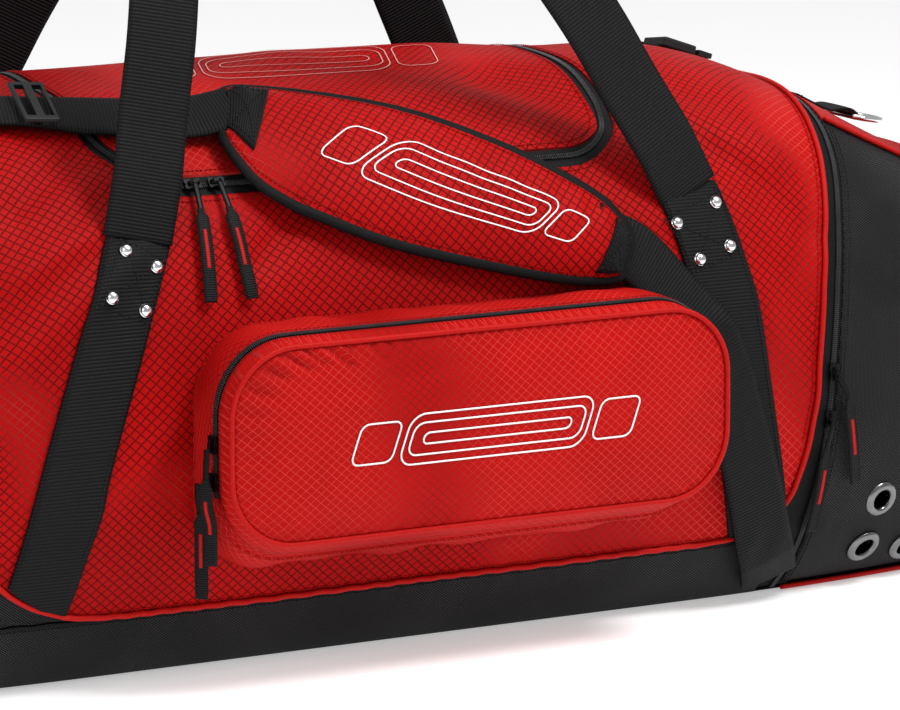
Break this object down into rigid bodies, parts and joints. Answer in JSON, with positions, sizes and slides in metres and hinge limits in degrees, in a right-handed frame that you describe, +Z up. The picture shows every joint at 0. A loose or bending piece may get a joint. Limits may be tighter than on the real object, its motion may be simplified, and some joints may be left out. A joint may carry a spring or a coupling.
{
  "type": "hockey equipment bag",
  "caption": "Long soft duffel bag with zipped top lid, zipped front pocket, zipped end compartment, two carry handles and a padded shoulder strap.",
  "frame": {"origin": "on the flat underside, under the middle of the bag's length and depth", "axes": "+X along the bag, towards the end compartment; -Y is the pocket side; +Z up"},
  "size_m": [1.085, 0.4946, 0.6477],
  "materials": {
    "red_ripstop": "ripstop nylon, slight sheen",
    "black_nylon": "coarse woven nylon, matte",
    "webbing": "ribbed nylon webbing",
    "zip_tape": "zip tape with nylon coil",
    "red_piping": "smooth piping",
    "metal": "polished",
    "slider_metal": "black painted",
    "plastic": "moulded",
    "board": "stiff board",
    "lining": "plain lining"
  },
  "bodies": {
    "bag": {"main_wrap": "red_ripstop", "rear_panel": "red_ripstop", "pocket_gusset": "red_ripstop", "shoulder_pad": "red_ripstop", "base_tray": "black_nylon", "left_end": "black_nylon", "end_floor": "black_nylon", "front_strap_left": "webbing", "front_strap_right": "webbing", "rear_strap_left": "webbing", "rear_strap_right": "webbing", "shoulder_web_left": "webbing", "shoulder_web_right": "webbing", "ring_tab_left": "webbing", "rear_strap_fixed": "webbing", "end_zip_tape_body": "zip_tape", "lid_zip_tape_body": "zip_tape", "pocket_zip_tape_body": "zip_tape", "wrap_piping": "red_piping", "end_lower_piping": "red_piping", "front_rivets_left": "metal", "front_rivets_right": "metal", "rear_rivets_left": "metal", "rear_rivets_right": "metal", "buckle_socket": "plastic", "base_board": "board", "divider_wall": "lining"},
    "lid": {"lid_panel": "red_ripstop", "lid_zip_tape_lid": "zip_tape"},
    "end_cap": {"end_cap": "black_nylon", "end_top_panel": "red_ripstop", "end_top_piping": "red_piping", "end_zip_tape_cap": "zip_tape", "grommet_1": "metal", "grommet_2": "metal", "grommet_3": "metal", "ring_tab_right": "webbing"},
    "pocket_flap": {"pocket_face": "red_ripstop", "pocket_zip_tape_flap": "zip_tape", "pocket_piping": "red_piping"},
    "front_handle": {"front_handle_loop": "webbing", "front_grip": "webbing"},
    "rear_handle": {"rear_handle_loop": "webbing", "rear_grip": "webbing"},
    "ring_left": {"ring_left": "metal"},
    "ring_right": {"ring_right": "metal"},
    "buckle_plug": {"buckle_plug": "plastic"},
    "tri_glide": {"tri_glide": "plastic"},
    "lid_slider_left": {"lid_slider_left": "slider_metal"},
    "lid_slider_right": {"lid_slider_right": "slider_metal"},
    "end_slider_upper": {"end_slider_upper": "slider_metal"},
    "end_slider_lower": {"end_slider_lower": "slider_metal"},
    "pocket_slider_upper": {"pocket_slider_upper": "slider_metal"},
    "pocket_slider_lower": {"pocket_slider_lower": "slider_metal"},
    "lid_pull_left": {"lid_pull_left": "webbing"},
    "lid_pull_right": {"lid_pull_right": "webbing"},
    "end_pull_upper": {"end_pull_upper": "webbing"},
    "end_pull_lower": {"end_pull_lower": "webbing"},
    "pocket_pull_upper": {"pocket_pull_upper": "webbing"},
    "pocket_pull_lower": {"pocket_pull_lower": "webbing"}
  },
  "joints": [
    {"name": "lid_hinge", "type": "hinge", "parent": "bag", "child": "lid", "pos_m": [0, 0.1, 0.39193], "axis": [-1, 0, 0], "range_deg": [0, 68], "deforming": ["shoulder_pad", "shoulder_web_left", "lid_pull_left", "lid_pull_right"]},
    {"name": "end_cap_hinge", "type": "hinge", "parent": "bag", "child": "end_cap", "pos_m": [0.54, 0, 0.039], "axis": [0, 1, 0], "range_deg": [0, 85]},
    {"name": "pocket_flap_hinge", "type": "hinge", "parent": "bag", "child": "pocket_flap", "pos_m": [0, -0.24947, 0.09891], "axis": [1, 0, 0], "range_deg": [0, 55]},
    {"name": "front_handle_hinge", "type": "hinge", "parent": "bag", "child": "front_handle", "pos_m": [0, -0.1935, 0.328], "axis": [1, 0, 0], "range_deg": [0, 120]},
    {"name": "rear_handle_hinge", "type": "hinge", "parent": "bag", "child": "rear_handle", "pos_m": [0, 0.1935, 0.328], "axis": [-1, 0, 0], "range_deg": [0, 130]},
    {"name": "ring_left_hinge", "type": "hinge", "parent": "bag", "child": "ring_left", "pos_m": [-0.474, 0, 0.33938], "axis": [0, 1, 0], "range_deg": [0, 110]},
    {"name": "ring_right_hinge", "type": "hinge", "parent": "end_cap", "child": "ring_right", "pos_m": [0.474, 0, 0.34178], "axis": [0, -1, 0], "range_deg": [0, 110]},
    {"name": "buckle_release", "type": "slide", "parent": "bag", "child": "buckle_plug", "axis": [0.9434, -0.047, -0.3284], "range_m": [0, 0.03]},
    {"name": "adjuster_slide", "type": "slide", "parent": "bag", "child": "tri_glide", "axis": [0.9838, -0.1701, -0.0559], "range_m": [-0.012, 0.012]},
    {"name": "lid_slider_left_run", "type": "slide", "parent": "lid", "child": "lid_slider_left", "axis": [1, 0, 0], "range_m": [-0.004, 0.004]},
    {"name": "lid_slider_right_run", "type": "slide", "parent": "lid", "child": "lid_slider_right", "axis": [1, 0, 0], "range_m": [0, 0.27]},
    {"name": "end_slider_upper_run", "type": "slide", "parent": "end_cap", "child": "end_slider_upper", "axis": [0.0918, 0.0326, 0.9952], "range_m": [0, 0.03]},
    {"name": "end_slider_lower_run", "type": "slide", "parent": "end_cap", "child": "end_slider_lower", "axis": [0.0918, 0.0326, 0.9952], "range_m": [-0.012, 0]},
    {"name": "pocket_slider_upper_run", "type": "slide", "parent": "pocket_flap", "child": "pocket_slider_upper", "axis": [0, 0, 1], "range_m": [0, 0.018]},
    {"name": "pocket_slider_lower_run", "type": "slide", "parent": "pocket_flap", "child": "pocket_slider_lower", "axis": [0, 0, 1], "range_m": [-0.006, 0.008]},
    {"name": "lid_pull_left_swing", "type": "hinge", "parent": "lid_slider_left", "child": "lid_pull_left", "pos_m": [-0.169, -0.16174, 0.35465], "axis": [-1, 0, 0], "range_deg": [0, 100]},
    {"name": "lid_pull_right_swing", "type": "hinge", "parent": "lid_slider_right", "child": "lid_pull_right", "pos_m": [-0.15, -0.16174, 0.35465], "axis": [-1, 0, 0], "range_deg": [0, 100]},
    {"name": "end_pull_upper_swing", "type": "hinge", "parent": "end_slider_upper", "child": "end_pull_upper", "pos_m": [0.34938, -0.21103, 0.17409], "axis": [-1, 0, 0], "range_deg": [0, 100]},
    {"name": "end_pull_lower_swing", "type": "hinge", "parent": "end_slider_lower", "child": "end_pull_lower", "pos_m": [0.3345, -0.21144, 0.13824], "axis": [-1, 0, 0], "range_deg": [0, 100]},
    {"name": "pocket_pull_upper_swing", "type": "hinge", "parent": "pocket_slider_upper", "child": "pocket_pull_upper", "pos_m": [-0.20656, -0.25538, 0.18], "axis": [0, 1, 0], "range_deg": [0, 100]},
    {"name": "pocket_pull_lower_swing", "type": "hinge", "parent": "pocket_slider_lower", "child": "pocket_pull_lower", "pos_m": [-0.20609, -0.23932, 0.154], "axis": [0, 1, 0], "range_deg": [0, 100]}
  ]
}
